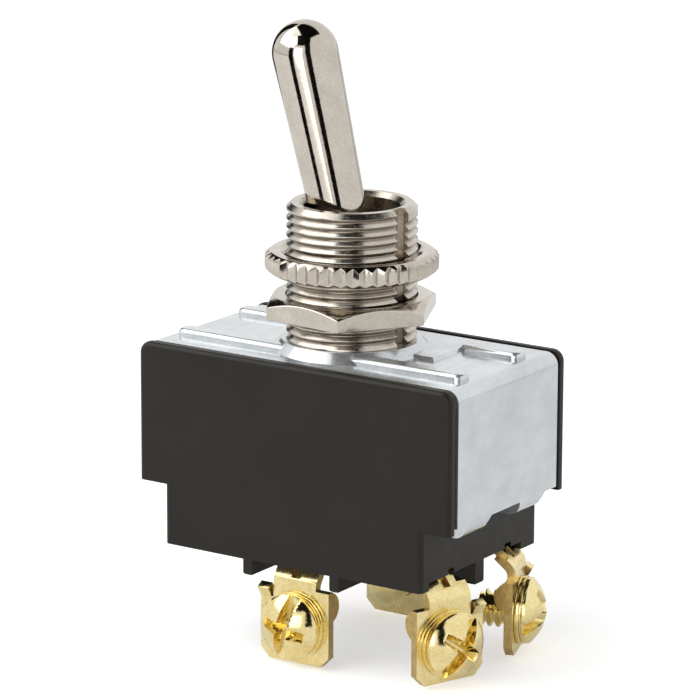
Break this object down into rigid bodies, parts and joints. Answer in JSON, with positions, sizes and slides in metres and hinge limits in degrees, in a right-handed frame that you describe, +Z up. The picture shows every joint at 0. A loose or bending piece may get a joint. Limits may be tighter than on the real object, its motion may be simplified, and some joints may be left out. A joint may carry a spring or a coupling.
{
  "type": "panel toggle switch",
  "caption": "Heavy-duty two-pole toggle switch with screw terminals and a threaded panel bushing.",
  "frame": {"origin": "on the bushing's axis, in the hex nut's top face, where the panel seats", "axes": "+Z up the bushing's axis towards the lever, +X towards the end with two terminals"},
  "size_m": [0.0336, 0.022, 0.0571],
  "materials": {
    "phenolic": "satin",
    "zinc_steel": "satin",
    "nickel": "polished",
    "brass": "polished",
    "fibre": "matte",
    "nylon": "satin",
    "steel": "satin",
    "silver": "satin"
  },
  "bodies": {
    "housing": {"case": "phenolic", "frame": "zinc_steel", "insulator_liner": "fibre", "bushing": "nickel", "terminal_centre_front": "brass", "terminal_centre_rear": "brass", "terminal_end_front": "brass", "terminal_end_rear": "brass", "terminal_screws": "brass", "fixed_contact_front": "silver", "fixed_contact_rear": "silver"},
    "toggle": {"lever": "nickel", "pivot_pin": "steel", "actuator": "nylon", "plunger_spring_front": "steel", "plunger_spring_rear": "steel"},
    "front_plunger": {"plunger_front": "nylon"},
    "rear_plunger": {"plunger_rear": "nylon"},
    "front_arm": {"contact_arm_front": "brass", "moving_contact_front": "silver"},
    "rear_arm": {"contact_arm_rear": "brass", "moving_contact_rear": "silver"},
    "face_nut": {"knurled_nut": "nickel"},
    "backing_nut": {"hex_nut": "nickel"}
  },
  "joints": [
    {"name": "lever_throw", "type": "hinge", "parent": "housing", "child": "toggle", "pos_m": [0, 0, 0.00155], "axis": [0, 1, 0], "range_deg": [0, 29]},
    {"name": "front_plunger_travel", "type": "slide", "parent": "toggle", "child": "front_plunger", "axis": [-0.2504, 0, 0.9681], "range_m": [0, 0.001], "stiffness_N_per_m": 400, "springref_m": -0.0005, "deforming": ["plunger_spring_front"]},
    {"name": "rear_plunger_travel", "type": "slide", "parent": "toggle", "child": "rear_plunger", "axis": [-0.2504, 0, 0.9681], "range_m": [0, 0.001], "stiffness_N_per_m": 400, "springref_m": -0.0005, "deforming": ["plunger_spring_rear"]},
    {"name": "front_arm_rock", "type": "hinge", "parent": "housing", "child": "front_arm", "pos_m": [0, -0.0048, -0.01707], "axis": [0, 1, 0], "range_deg": [-14, 0]},
    {"name": "rear_arm_rock", "type": "hinge", "parent": "housing", "child": "rear_arm", "pos_m": [0, 0.0048, -0.01707], "axis": [0, 1, 0], "range_deg": [-14, 0]},
    {"name": "knurled_nut_turn", "type": "hinge", "parent": "housing", "child": "face_nut", "pos_m": [0, 0, 0.003], "axis": [0, 0, 1], "continuous": true},
    {"name": "hex_nut_turn", "type": "hinge", "parent": "housing", "child": "backing_nut", "pos_m": [0, 0, -0.0009], "axis": [0, 0, 1], "continuous": true}
  ],
  "couplings": [
    {"joint": "front_arm_rock", "follows": "lever_throw", "ratio": -0.48276},
    {"joint": "rear_arm_rock", "follows": "lever_throw", "ratio": -0.48276}
  ]
}
